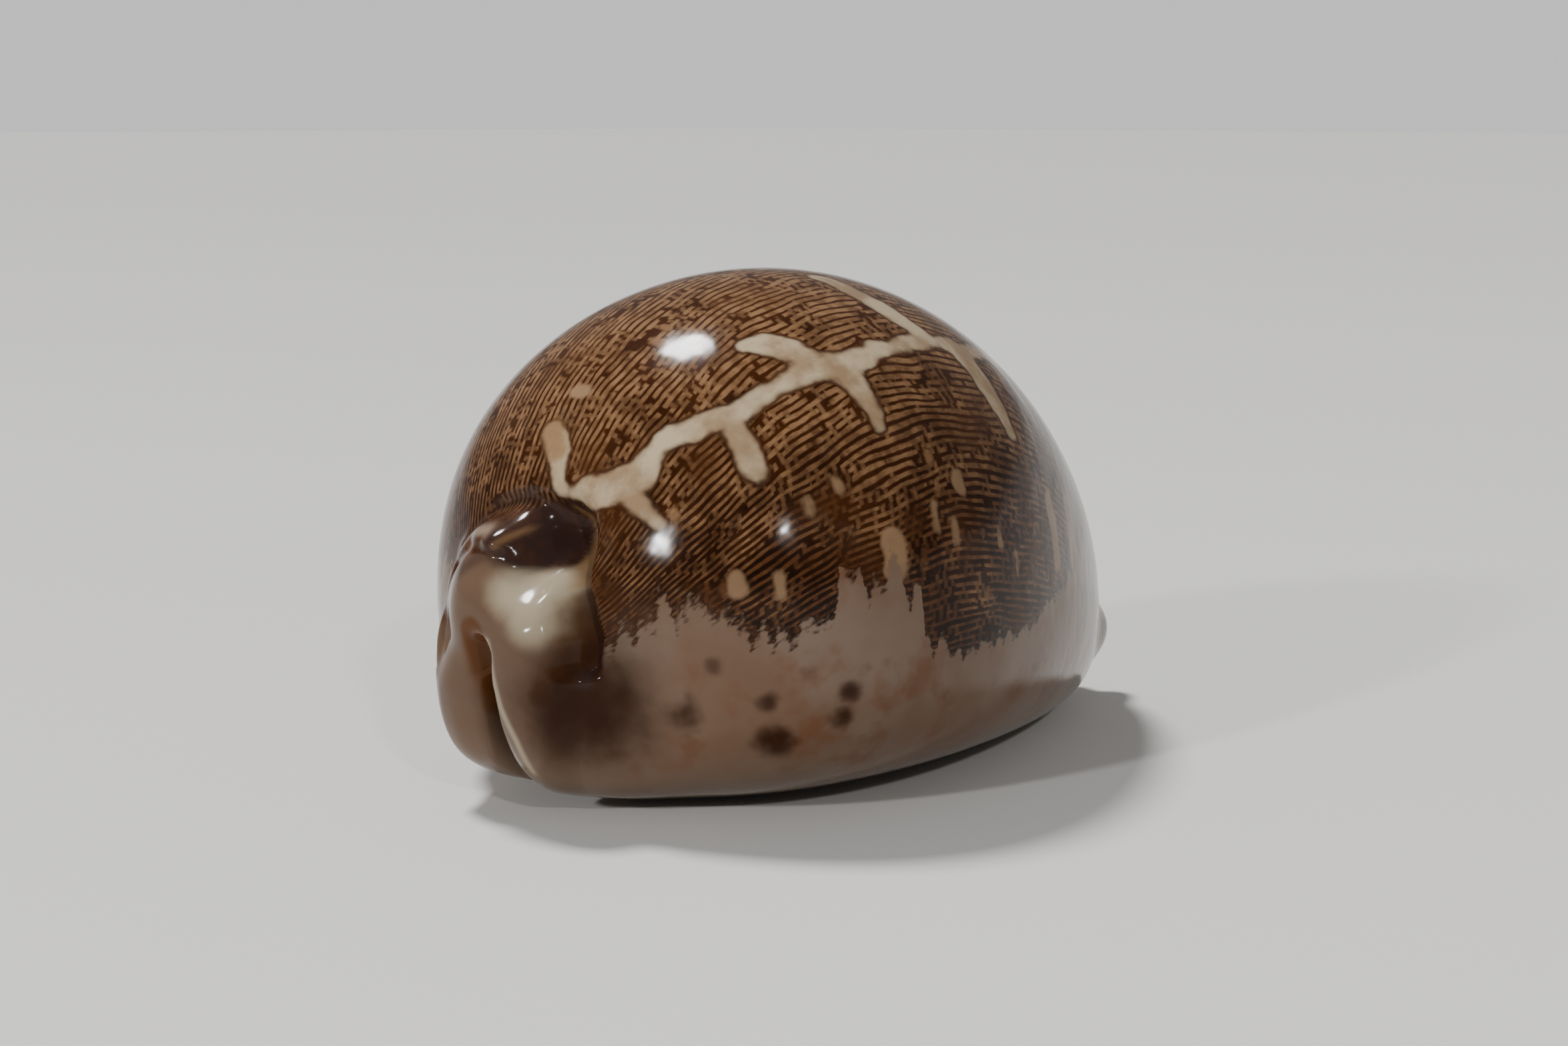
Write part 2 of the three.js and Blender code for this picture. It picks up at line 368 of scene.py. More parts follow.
def rear_rise(y, z):
    """How far the rear face stands out beyond the plain body."""
    collar, collar_place = from_chain(y, z, COLLAR)
    cleft, cleft_place = from_chain(y, z, SIDE_CLEFT)
    within = oval_ratio(y, z, SNOUT)
    rise = SNOUT_RISE * smooth(1.06, 0.86, within)
    rise += OUTER_LOBE_RISE * hump(from_chain(y, z, OUTER_LOBE)[0] / OUTER_LOBE_REACH)
    rise += INNER_LOBE_RISE * hump(from_chain(y, z, INNER_LOBE)[0] / INNER_LOBE_REACH)
    ends = smooth(-0.05, 0.12, collar_place) * smooth(1.02, 0.9, collar_place)
    rise += COLLAR_RISE * hump(collar / COLLAR_REACH) * ends
    groove = hump((within - 1.14) / 0.07) * smooth(8, 14, z) * smooth(-6, -2, y)
    rise -= GROOVE_DEPTH * groove
    rise -= CLEFT_DEPTH * hump(cleft / CLEFT_REACH) * smooth(1, 0.75, cleft_place)
    rise -= CREASE_DEPTH * hump(from_chain(y, z, SLOT_CREASE)[0] / CREASE_REACH)
    rise -= PIT_DEPTH * hump(oval_ratio(y, z, SPIRE_PIT))
    return rise


def outside(along, turn):
    """The outside of the shell: the plain body with the lobes, collar, clefts and pit."""
    along, turn = np.broadcast_arrays(along, turn)
    point = plain_body(along, turn)
    y, z = point[..., 1].copy(), point[..., 2].copy()
    rear = smooth(-0.62, -0.86, along)
    point[..., 0] -= rear * rear_rise(y, z)
    feet = hump(from_chain(y, z, OUTER_LOBE)[0] / 6)
    feet += 1.1 * hump(from_chain(y, z, INNER_LOBE)[0] / 5)
    point += outward(along, turn) * (rear * smooth(13, 3, z) * feet)[..., None]
    front = smooth(0.7, 0.92, along)
    for lobe in FRONT_LOBES:
        point[..., 0] += front * lobe[4] * hump(oval_ratio(y, z, lobe))
    point[..., 2] = np.maximum(0, point[..., 2] - BASE_FLAT)
    return point


def slot_centre(along):
    return -1.6 + 2.6 * smooth(-0.5, -1, along) + 1.2 * smooth(0.5, 1, along)


def slot_fade(along):
    return smooth(1, SLOT_END, np.abs(along))


def slot_half(along):
    return slot_fade(along) * SLOT_WIDTH / 2 * (0.75 + 0.5 * np.maximum(0, along) * (1 - along))


def slot_turn(along, offset):
    """The turn at which the base is so far to the side of the slot's middle line."""
    across = slot_centre(along) + offset
    lip_side = LIP_SIDE_WIDTH * egg(along, LIP_SIDE_TAPER)
    inner_side = INNER_SIDE_WIDTH * egg(along, INNER_SIDE_TAPER)
    side = np.where(across > 0, inner_side, lip_side)
    return np.arcsin(-across / (side * (1 + BASE_SQUARENESS) + 3))


def hollow_point(along, share):
    """The wall of the hollow, from the inner lip round to the outer lip."""
    half = slot_half(along)
    centre_turn = slot_turn(along, 0)
    depth = LIP_DEPTH * slot_fade(along) + half * 1.4 * np.sin(math.pi * share)
    groove = outside(along, centre_turn) - outward(along, centre_turn) * depth[..., None]
    groove[..., 1] += half * 0.9 * np.cos(math.pi * share)
    gap_turn = np.arcsin((half + 0.4) / 20)
    turn = centre_turn + mix(2 * math.pi - gap_turn, gap_turn, share)
    room = plain_body(along * 0.94, turn, WALL)
    return mix(groove, room, smooth(0.96, 0.66, np.abs(along))[..., None])


def tooth(along, count):
    """A row of rounded ridges along a lip, 0 to 1, that dies away at both ends."""
    place = (along + 0.84) / 1.71 * (count - 1)
    return np.cos(math.pi * place) ** 4 * smooth(-0.9, -0.8, along) * smooth(0.94, 0.85, along)


def lip_point(along, side, share, count):
    """The rolled edge of one lip, from the outside to the hollow: -1 outer lip, 1 inner lip."""
    half = slot_half(along)
    fade = slot_fade(along)
    centre_turn = slot_turn(along, 0)
    edge = outside(along, slot_turn(along, side * (half + LIP_ROUNDING * fade)))
    corner = outside(along, slot_turn(along, side * half * 0.7))
    deep = corner - outward(along, centre_turn) * (0.85 * LIP_DEPTH * fade)[..., None]
    deep[..., 1] = outside(along, centre_turn)[..., 1] + side * half * 0.9
    end = hollow_point(along, np.full_like(along, 0.0 if side > 0 else 1.0))
    ridge = TOOTH_HEIGHT * tooth(along, count) * fade
    corner[..., 1] -= side * ridge
    corner[..., 2] -= 0.3 * ridge
    deep[..., 1] -= side * ridge * 0.4
    t = share[..., None]
    return (
        edge * (1 - t) ** 3
        + 3 * corner * t * (1 - t) ** 2
        + 3 * deep * t**2 * (1 - t)
        + end * t**3
    )


def ring_point(along, share):
    """A point at a share of the way round: outside, inner lip, hollow, outer lip."""
    reach = slot_half(along) + LIP_ROUNDING * slot_fade(along)
    start = slot_turn(along, -reach)
    end = 2 * math.pi + slot_turn(along, reach)
    over = np.clip(share / OUTSIDE_SHARE, 0, 1)
    spread = over - 0.055 * np.sin(2 * math.pi * over)
    turn = mix(start, end, spread)
    point = outside(along, turn)
    inner = (share - OUTSIDE_SHARE) / LIP_SHARE
    outer = (1 - share) / LIP_SHARE
    hollow = (share - OUTSIDE_SHARE - LIP_SHARE) / (1 - OUTSIDE_SHARE - 2 * LIP_SHARE)
    on_inner = (inner > 0) & (inner < 1)
    on_outer = (outer > 0) & (outer < 1)
    in_hollow = (inner >= 1) & (outer >= 1)
    inner_lip = lip_point(along[on_inner], 1, inner[on_inner], INNER_LIP_TEETH)
    point[on_inner] = inner_lip
    point[on_outer] = lip_point(along[on_outer], -1, outer[on_outer], OUTER_LIP_TEETH)
    point[in_hollow] = hollow_point(along[in_hollow], hollow[in_hollow])
    point[:, 2] = np.maximum(0, point[:, 2])
    turn[on_outer | in_hollow] = start[on_outer | in_hollow]
    return point, turn


# Places on the shell that its colours follow


def from_line(points, line):
    """How far points are outside a pale line on the shell: 0 at its edge, negative inside."""
    gap = np.full(len(points), np.inf)
    for start, end in zip(line, line[1:]):
        for step in range(4):
            x0, turn0, reach0 = mix(np.array(start), np.array(end), step / 4)
            x1, turn1, reach1 = mix(np.array(start), np.array(end), (step + 1) / 4)
            near = plain_body(2 * x0 / BODY_LENGTH, math.radians(turn0))
            run = plain_body(2 * x1 / BODY_LENGTH, math.radians(turn1)) - near
            share = np.clip((points - near) @ run / (run @ run), 0, 1)
            here = np.linalg.norm(points - near - share[:, None] * run, axis=1)
            gap = np.minimum(gap, here - mix(reach0, reach1, share))
    return gap


def above_edge(along, turn):
    """How far places lie above the lower edge of the dark markings, in millimetres."""
    x = BODY_LENGTH / 2 * along
    lip_edge = np.interp(x, *zip(*LIP_SIDE_EDGE))
    inner_edge = np.interp(x, *zip(*INNER_SIDE_EDGE))
    girth = np.hypot(1 - along**2, 0.2) * LIP_SIDE_WIDTH
    degrees = np.minimum(np.degrees(turn) - lip_edge, inner_edge - np.degrees(turn))
    return np.radians(degrees) * girth


def spots_on(points, spots):
    """Soft round spots, stains on the margin and painted shade on the rear, each as (mm along the
    axis, degrees about it, reach, strength).
    """
    stain = np.zeros(len(points))
    for x, degrees, reach, strength in spots:
        middle = outside(np.array(2 * x / BODY_LENGTH), np.array(math.radians(degrees)))
        gap = np.linalg.norm(points - middle, axis=1)
        stain = np.maximum(stain, strength * hump(gap / reach))
    return stain


def grain_of(along, turn):
    """Where a place lies in the fine lines: millimetres along them, and rows across them."""
    run = 33 * np.arccos(np.clip(-along, -1, 1))
    girth = np.sqrt(np.maximum(0, 1 - along**2)) * (1 - 0.25 * along)
    rows = (turn - math.pi) * LIP_SIDE_WIDTH * np.sqrt(girth + 0.01) / ROW_PITCH
    return run, rows


def colour_places(along, turn, points):
    """The named shares, 0 to 1, and distances, in millimetres, that the glaze reads."""
    run, rows = grain_of(along, turn)
    flat = plain_body(along, turn)
    y, z = flat[:, 1], flat[:, 2]
    rear = smooth(-0.8, -0.9, along)
    within = oval_ratio(y, z, SNOUT)
    snout = rear * smooth(1.12, 1.04, within)
    dome = from_chain(y, z, OUTER_LOBE)[0]
    inner = from_chain(y, z, INNER_LOBE)[0]
    lobes = np.maximum(smooth(4.9, 4.1, dome) * smooth(22.6, 21.8, z), smooth(5, 3.6, inner))
    sides = smooth(17.5, 14.0, z)
    cleft = from_chain(y, z, SIDE_CLEFT)[0]
    pit = smooth(1.12, 0.82, oval_ratio(y, z, PIT_SHADE))
    crease = hump(from_chain(y, z, DOME_CREASE)[0] / 0.8)
    lip_groove = hump((within - 1.15) / 0.08) * smooth(11, 16, z) * smooth(-4, 0, y)
    lines = [from_line(points, line) for line in (PALE_LINE, *PALE_BRANCHES)]
    drops = [
        from_line(points, ((x, low, reach), (x, high, reach))) for x, low, high, reach in PALE_DROPS
    ]
    slot_gap = from_chain(points[:, 1], points[:, 2], SLOT_BROWN)[0]
    flank = from_chain(y, z, BROWN_FLANK)[0]
    tips = smooth(0.93, 0.975, along) * smooth(1.5, 3.5, z)
    streak = 0.5 * snout * hump(from_chain(y, z, COLLAR_STREAK)[0] / 0.35)
    blob = smooth(0.2, -0.5, from_line(points, TAN_BLOB))
    pit_edge = smooth(0.3, -0.2, from_line(flat, PIT_EDGE))
    return {
        "along_lines": run,
        "across_lines": rows,
        "pale_gap": np.minimum.reduce(lines),
        "drop_gap": np.minimum.reduce(drops),
        "edge_height": above_edge(along, turn),
        "margin_stain": spots_on(points, MARGIN_STAINS),
        "snout": snout * smooth(12, 16, z),
        "lobes": snout * np.maximum(lobes, sides),
        "cream": snout * smooth(3.7, 0.8, from_chain(y, z, CREAM_CAP)[0]),
        # the slot's and flank's orange-brown, partly painted light: lighter where they lie in shade
        "russet": rear * np.maximum(smooth(2.1, 1.0, slot_gap), 0.7 * smooth(1.5, 0.3, flank)),
        # painted shade low on the rear, with the front tips' own dark brown
        "umber_and_shade": np.maximum(spots_on(points, REAR_SHADE), tips),
        # painted shade: dark in the spire pit, the side cleft, the groove by the collar and the
        # crease by the dome
        "pit": rear * np.maximum.reduce([pit, hump(cleft / 0.6), 0.5 * lip_groove, 0.6 * crease]),
        "rim": snout * hump(from_chain(y, z, COLLAR)[0] / 0.45),
        "slot_rim": snout * hump(from_chain(y, z, SLOT_RIM)[0] / 0.4),
        "streak": np.maximum(streak, blob),
        "pit_edge": pit_edge,
    }


# The finish


def add_node(tree, kind, inputs=None, output=0, **settings):
    """Adds a node, sets or links the inputs given, and returns one of its outputs."""
    node = tree.nodes.new(kind)
    for name, value in settings.items():
        setattr(node, name, value)
    for key, value in (inputs or {}).items():
        if isinstance(value, bpy.types.NodeSocket):
            tree.links.new(value, node.inputs[key])
        else:
            node.inputs[key].default_value = value
    return node.outputs[output]


def calc(tree, operation, *values):
    return add_node(tree, "ShaderNodeMath", dict(enumerate(values)), operation=operation)


def ramp(tree, value, low, high):
    """0 at low and 1 at high, with soft ends; low may be the larger."""
    inputs = {"Value": value, "From Min": low, "From Max": high}
    return add_node(tree, "ShaderNodeMapRange", inputs, interpolation_type="SMOOTHSTEP")


def place(tree, name):
    return add_node(tree, "ShaderNodeAttribute", output="Fac", attribute_name=name)


def pair(tree, x, y):
    return add_node(tree, "ShaderNodeCombineXYZ", {"X": x, "Y": y})


def noise(tree, vector, scale, detail=2.0, roughness=0.5):
    inputs = {"Vector": vector, "Scale": scale, "Detail": detail, "Roughness": roughness}
    return add_node(tree, "ShaderNodeTexNoise", inputs, output="Fac", noise_dimensions="3D")


def chance(tree, x, y):
    inputs = {"Vector": pair(tree, x, y)}
    return add_node(tree, "ShaderNodeTexWhiteNoise", inputs, output="Value", noise_dimensions="2D")


def blend(tree, share, first, second):
    """Mixes two colours by a share; each is a socket, or its red, green and blue."""
    inputs = {0: share}
    for key, colour_in in ((6, first), (7, second)):
        is_socket = isinstance(colour_in, bpy.types.NodeSocket)
        inputs[key] = colour_in if is_socket else (*colour_in, 1)
    return add_node(tree, "ShaderNodeMix", inputs, output=2, data_type="RGBA")


def pale_lines(tree, run, across, high):
    """Fine pale lines along the shell, cut into a woven look where short rungs cross them."""
    lie = pair(tree, calc(tree, "MULTIPLY", run, 0.11), calc(tree, "MULTIPLY", across, 0.09))
    wander = noise(tree, lie, 1.0, 2.0)
    rows = calc(tree, "ADD", across, calc(tree, "MULTIPLY", wander, 3.0))
    row = calc(tree, "FLOOR", rows)
    offset = calc(tree, "ABSOLUTE", calc(tree, "SUBTRACT", calc(tree, "FRACT", rows), 0.5))
    woven = ramp(tree, noise(tree, lie, 1.9, 1.0), 0.42, 0.58)

    shifted = calc(tree, "MULTIPLY_ADD", chance(tree, row, 3.0), 40.0, run)
    texture = pair(tree, calc(tree, "MULTIPLY", shifted, 0.6), calc(tree, "MULTIPLY", row, 5.3))
    breaks = calc(tree, "MULTIPLY_ADD", woven, 0.12, 0.33)
    dash = ramp(tree, calc(tree, "SUBTRACT", noise(tree, texture, 1.0, 1.5), breaks), -0.03, 0.05)
    width = calc(tree, "MULTIPLY_ADD", noise(tree, texture, 2.3, 0.0), 0.16, 0.02)
    width = calc(tree, "MULTIPLY_ADD", high, 0.12, width)
    soft_width = calc(tree, "ADD", width, 0.2)
    line = calc(tree, "MULTIPLY", ramp(tree, offset, soft_width, width), dash)

    between = calc(tree, "FLOOR", calc(tree, "ADD", rows, 0.5))
    start = calc(tree, "MULTIPLY", chance(tree, between, 8.0), 9.0)
    step = calc(tree, "MULTIPLY_ADD", run, 1.15, start)
    column = calc(tree, "FLOOR", step)
    middle = calc(tree, "ABSOLUTE", calc(tree, "SUBTRACT", calc(tree, "FRACT", step), 0.5))
    odds = calc(tree, "MULTIPLY_ADD", woven, 0.62, 0.04)
    chosen = calc(tree, "LESS_THAN", chance(tree, column, between), odds)
    rung = calc(tree, "MULTIPLY", ramp(tree, middle, 0.38, 0.1), chosen)
    return calc(tree, "MAXIMUM", line, calc(tree, "MULTIPLY", rung, 0.65))


def pale_drops(tree, run, across):
    """Pale drops, long across the lines, here and there: 1 within, fading to 0 outside."""
    step = calc(tree, "DIVIDE", run, 2.6)
    column = calc(tree, "FLOOR", step)
    shift = calc(tree, "MULTIPLY", chance(tree, column, 31.0), 7.0)
    level = calc(tree, "MULTIPLY_ADD", across, 0.26, shift)
    line = calc(tree, "FLOOR", level)
    aside = calc(tree, "MULTIPLY_ADD", chance(tree, line, column), 0.4, 0.3)
    along_gap = calc(tree, "SUBTRACT", calc(tree, "FRACT", step), aside)
    bend = calc(tree, "MULTIPLY_ADD", noise(tree, pair(tree, run, across), 0.9), 0.9, -0.95)
    across_gap = calc(tree, "ADD", calc(tree, "FRACT", level), bend)
    size = calc(tree, "MULTIPLY_ADD", chance(tree, column, line), 0.7, 0.6)
    place_in_drop = pair(
        tree, calc(tree, "MULTIPLY", along_gap, 5.2), calc(tree, "MULTIPLY", across_gap, 3.2)
    )
    length = add_node(
        tree, "ShaderNodeVectorMath", {0: place_in_drop}, output="Value", operation="LENGTH"
    )
    gap = calc(tree, "DIVIDE", length, size)
    chosen = calc(tree, "LESS_THAN", chance(tree, calc(tree, "ADD", line, 0.37), column), 0.1)
    return calc(tree, "MULTIPLY", ramp(tree, gap, 1.1, 0.4), chosen)


def glaze_material(finish):
    """The shell's glossy skin: dark markings in pale lines, painted lighter higher up, pale
    margins, stained front tips, painted shade and light at the rear, and a painted floor reflection
    along the base.
    """
    material = bpy.data.materials.new("Cowrie glaze")
    material.use_nodes = True
    tree = material.node_tree
    shader = tree.nodes["Principled BSDF"]
    shader.inputs["Roughness"].default_value = finish.gloss_roughness
    shader.inputs["IOR"].default_value = finish.gloss_ior

    run, across = place(tree, "along_lines"), place(tree, "across_lines")
    lie = pair(tree, run, across)
    solid = add_node(tree, "ShaderNodeTexCoord", output="Object")
    height_above_base = add_node(tree, "ShaderNodeSeparateXYZ", {0: solid}, output=2)
    # Higher on the shell the fine lines are wider, and the markings' tone is painted lighter there
    high = ramp(tree, height_above_base, 0.014, 0.042)
    fine = noise(tree, solid, EDGE_GRAIN)
    uneven = calc(tree, "MULTIPLY_ADD", fine, 1.5, -0.75)
    drops = ramp(tree, calc(tree, "ADD", place(tree, "drop_gap"), uneven), 0.25, -0.3)
    flecks = calc(tree, "MULTIPLY", pale_drops(tree, run, across), 0.8)
    worn = ramp(tree, noise(tree, solid, WEAR_GRAIN), 0.35, 0.6)
    worn = calc(tree, "MULTIPLY_ADD", worn, 0.5, 0.5)
    lines = calc(tree, "MULTIPLY", pale_lines(tree, run, across, high), worn)
    lines = calc(tree, "MAXIMUM", calc(tree, "MAXIMUM", lines, flecks), drops)

    # The broad pale line has a narrow dark border and soft, uneven edges
    gap = calc(tree, "ADD", place(tree, "pale_gap"), uneven)
    lines = calc(tree, "MULTIPLY", lines, ramp(tree, gap, 0.05, 0.5))

    # The lower edge of the dark markings hangs in short drips
    drip = noise(tree, pair(tree, calc(tree, "MULTIPLY", run, 0.75), 0.0), 1.0, 1.0)
    drip = calc(tree, "MULTIPLY_ADD", drip, 5.0, -2.2)
    ragged = calc(tree, "MULTIPLY_ADD", noise(tree, lie, 1.1, 2.0), 3.0, -1.5)
    height = calc(tree, "ADD", calc(tree, "ADD", place(tree, "edge_height"), drip), ragged)
    lines = calc(tree, "MULTIPLY", lines, ramp(tree, height, 0.1, 0.8))
    marked = calc(tree, "MULTIPLY", ramp(tree, height, -0.5, 0.4), ramp(tree, gap, -0.5, 0.3))

    drift = noise(tree, solid, TONE_DRIFT)
    tone = calc(tree, "MULTIPLY_ADD", drift, 0.4, -0.2)
    tone = calc(tree, "ADD", noise(tree, solid, TONE_GRAIN, 4.0, 0.6), tone)
    # Painted light: the markings are painted lighter higher on the shell, where more light falls
    tone = calc(tree, "MULTIPLY_ADD", high, -0.3, tone)
    tone = ramp(tree, tone, 0.1, 0.6)
    dark = blend(tree, tone, finish.chestnut, finish.dark_chestnut)
    rusty = ramp(tree, noise(tree, solid, RUST_CLOUDS, 3.0), 0.48, 0.72)
    dark = blend(tree, calc(tree, "MULTIPLY", rusty, 0.45), dark, finish.rust)
    pale = blend(tree, tone, finish.line_pale, finish.line_tan)
    markings = blend(tree, lines, dark, pale)
    markings = blend(tree, calc(tree, "MULTIPLY", drops, 0.55), markings, finish.cream_tan)

    cloud = noise(tree, solid, MARGIN_CLOUDS, 3.0)
    blotch = calc(tree, "MULTIPLY_ADD", fine, 0.9, -0.45)
    margin = blend(tree, ramp(tree, cloud, 0.35, 0.65), finish.margin, finish.margin_grey)
    warm = ramp(tree, noise(tree, solid, WARM_CLOUDS, 3.0, 0.6), 0.5, 0.72)
    margin = blend(tree, calc(tree, "MULTIPLY", warm, 0.75), margin, finish.margin_warm)
    stain = calc(tree, "ADD", place(tree, "margin_stain"), blotch)
    margin = blend(tree, ramp(tree, stain, 0.15, 0.85), margin, finish.stain)
    cream_tone = ramp(tree, noise(tree, solid, CREAM_CLOUDS, 4.0, 0.6), 0.35, 0.62)
    cream = blend(tree, cream_tone, finish.cream, finish.cream_tan)
    skin = blend(tree, ramp(tree, gap, 0.2, -0.2), margin, cream)
    skin = blend(tree, marked, skin, markings)

    # The rear: mottled collar, pale lobes and cap, then the browns and the pit over them; the pit
    # colour and the brown low on the rear are painted shade, the russet partly painted light
    mottle = ramp(tree, noise(tree, solid, REAR_MOTTLE, 4.0, 0.7), 0.42, 0.66)
    snout = blend(tree, mottle, finish.chestnut, finish.collar)
    skin = blend(tree, place(tree, "snout"), skin, snout)
    lobes = calc(tree, "ADD", place(tree, "lobes"), calc(tree, "MULTIPLY", blotch, 0.6))
    skin = blend(tree, ramp(tree, lobes, 0.2, 0.8), skin, finish.lobe)
    skin = blend(tree, calc(tree, "MULTIPLY", place(tree, "rim"), 0.85), skin, finish.rim)
    cap = calc(tree, "ADD", place(tree, "cream"), calc(tree, "MULTIPLY", blotch, 0.5))
    skin = blend(tree, ramp(tree, cap, 0.0, 1.0), skin, finish.lobe_cream)
    # Painted shade low on the rear, with the front tips' own dark brown
    umber_and_shade = calc(tree, "ADD", place(tree, "umber_and_shade"), calc(tree, "MULTIPLY", blotch, 0.4))
    # Partly painted light: the russet lifts the shaded slot and flank
    russet = calc(tree, "ADD", place(tree, "russet"), calc(tree, "MULTIPLY", blotch, 0.4))
    skin = blend(tree, ramp(tree, russet, 0.05, 0.95), skin, finish.russet)
    skin = blend(tree, ramp(tree, umber_and_shade, 0.0, 0.95), skin, finish.umber_and_shade)
    slot_rim = calc(tree, "MULTIPLY", place(tree, "slot_rim"), 0.8)
    skin = blend(tree, slot_rim, skin, finish.lobe_cream)
    # Painted shade: the pit colour darkens the pit, cleft, groove and crease
    pit = blend(tree, calc(tree, "MULTIPLY", mottle, 0.25), finish.pit, finish.russet)
    skin = blend(tree, place(tree, "pit"), skin, pit)
    tan = calc(tree, "MAXIMUM", place(tree, "streak"), place(tree, "pit_edge"))
    skin = blend(tree, calc(tree, "MULTIPLY", tan, 0.8), skin, finish.tan)
    # Painted reflection: the sides close to the base are painted paler, standing in for the pale
    # floor's light
    low = calc(tree, "MULTIPLY", ramp(tree, height_above_base, 0.008, 0.001), 0.4)
    skin = blend(tree, low, skin, finish.base)
    tree.links.new(skin, shader.inputs["Base Color"])

    waves = noise(tree, solid, GLAZE_WAVES)
    bump = {"Strength": WAVE_STRENGTH, "Distance": WAVE_DEPTH, "Height": waves}
    tree.links.new(add_node(tree, "ShaderNodeBump", bump), shader.inputs["Normal"])
    return material


# The pieces


def model_shell(settings):
    """A sphere whose rings are laid round the shell's section, one after another."""
    shape = bmesh.new()
    steps, rings = settings.ring_steps, settings.rings
    bmesh.ops.create_uvsphere(shape, u_segments=steps, v_segments=rings, radius=1)
    start = np.array([vert.co[:] for vert in shape.verts])
    ring = 1 - np.arccos(np.clip(start[:, 2], -1, 1)) / math.pi
    share = np.arctan2(start[:, 1], start[:, 0]) / (2 * math.pi) % 1
    share = np.where(share > 1 - 1e-6, 0, share)
    along = -np.cos(math.pi * ring**REAR_DENSITY)
    points, turn = ring_point(along, share)
    for vert, point in zip(shape.verts, points):
        vert.co = (Vector(point) + BASE_MIDDLE) * MM
    bmesh.ops.recalc_face_normals(shape, faces=shape.faces)
    mesh = bpy.data.meshes.new("shell")
    shape.to_mesh(mesh)
    shape.free()
    mesh.shade_smooth()
    for name, values in colour_places(along, turn, points).items():
        mesh.attributes.new(name, "FLOAT", "POINT").data.foreach_set("value", values)
    shell = bpy.data.objects.new("cowrie_shell", mesh)
    bpy.context.collection.objects.link(shell)
    return shell


class ShellSettings(bpy.types.PropertyGroup):
    """How finely the shell is drawn."""

    rings: bpy.props.IntProperty(
        name="Rings", description="Rings along the shell", default=RINGS, min=60, max=400
    )
    ring_steps: bpy.props.IntProperty(
        name="Steps", description="Steps round each ring", default=RING_STEPS, min=60, max=500
    )


def colour(name, description, value):
    return bpy.props.FloatVectorProperty(
        name=name, description=description, default=value, subtype="COLOR", min=0, max=1
    )


class GlazeSettings(bpy.types.PropertyGroup):
    """The colours and gloss of the shell's skin."""

    chestnut: colour("Chestnut", "The dark markings", (0.040, 0.011, 0.002))
    dark_chestnut: colour("Dark chestnut", "The darkest markings", (0.009, 0.003, 0.001))
    rust: colour("Rust", "Redder clouds in the dark markings", (0.080, 0.026, 0.006))
    # partly painted light: the orange-brown is made lighter where the slot and flank lie in shade
    russet: colour("Russet", "Orange-brown in the slot and beside the cleft", (0.085, 0.031, 0.009))
    # painted shade low on the rear; the front tips are their own dark brown
    umber_and_shade: colour("Umber", "The dark foot of the rear, and the front's tips", (0.021, 0.006, 0.001))
    collar: colour("Collar", "Specks on the collar", (0.105, 0.050, 0.026))
    rim: colour("Rim", "The collar's edge", (0.25, 0.18, 0.13))
    tan: colour("Tan", "Streaks round the pit", (0.22, 0.125, 0.058))
    line_pale: colour("Pale lines", "The fine lines, at their palest", (0.225, 0.122, 0.058))
    line_tan: colour("Tan lines", "The fine lines, at their darkest", (0.070, 0.026, 0.009))
    cream: colour("Cream", "The broad pale line and its branches", (0.43, 0.34, 0.22))
    cream_tan: colour("Tan cream", "Clouds in the broad pale line", (0.25, 0.165, 0.095))
    lobe: colour("Lobe", "The lobes at the rear", (0.110, 0.067, 0.043))
    lobe_cream: colour("Lobe cream", "The cap of the outer lobe", (0.31, 0.255, 0.175))
    margin: colour("Margin", "The sides below the markings", (0.125, 0.073, 0.046))
    margin_warm: colour("Warm margin", "Orange-brown clouds in the margin", (0.115, 0.047, 0.021))
    margin_grey: colour("Grey margin", "Clouds in the margin", (0.150, 0.105, 0.076))
    stain: colour("Stain", "Soft brown spots on the margin", (0.026, 0.008, 0.002))
    # painted reflection of the pale floor on the sides close to the base
    base: colour("Base", "The sides close to the base", (0.24, 0.18, 0.135))
    # painted shade in the pit, the cleft, the groove and the crease
    pit: colour("Pit", "The pit and the cleft", (0.030, 0.015, 0.012))
    gloss_roughness: bpy.props.FloatProperty(
        name="Roughness", description="Roughness of the glaze", default=0.12, min=0, max=1
    )
    gloss_ior: bpy.props.FloatProperty(
        name="IOR", description="How strongly the glaze reflects", default=1.22, min=1, max=2
    )


class StageSettings(bpy.types.PropertyGroup):
    """The floor, the lights and the camera."""

    floor_size: bpy.props.FloatProperty(
        name="Floor", description="Side of the floor", default=12.0, unit="LENGTH"
    )
    floor_colour: colour("Floor colour", "The plain floor", (0.66, 0.65, 0.63))
    room_light: bpy.props.FloatProperty(
        name="Room light", description="Strength of the light from all round", default=0.22
    )
    horizon_light: bpy.props.FloatProperty(
        name="Horizon light", description="Strength of the pale band at the horizon", default=0.75
    )
    sun_strength: bpy.props.FloatProperty(
        name="Sun", description="Strength of the soft light from above", default=3.6
    )
    camera_azimuth: bpy.props.FloatProperty(
        name="Azimuth", description="Camera's angle about the shell", default=math.radians(-47),
        subtype="ANGLE",
    )
    camera_elevation: bpy.props.FloatProperty(
        name="Elevation", description="Camera's angle above the floor",
        default=math.radians(8.3), subtype="ANGLE",
    )
    camera_distance: bpy.props.FloatProperty(
        name="Distance", description="From the shell to the camera", default=0.26, unit="LENGTH"
    )


class COWRIE_OT_shell(bpy.types.Operator):
    """Build the shell with its markings"""

    bl_idname = "cowrie.shell"
    bl_label = "Shell"

    def execute(self, context):
        shell = model_shell(context.scene.cowrie_shell)
        shell.data.materials.append(glaze_material(context.scene.cowrie_glaze))
        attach(shell, "root")
        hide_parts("shell")
        return {"FINISHED"}


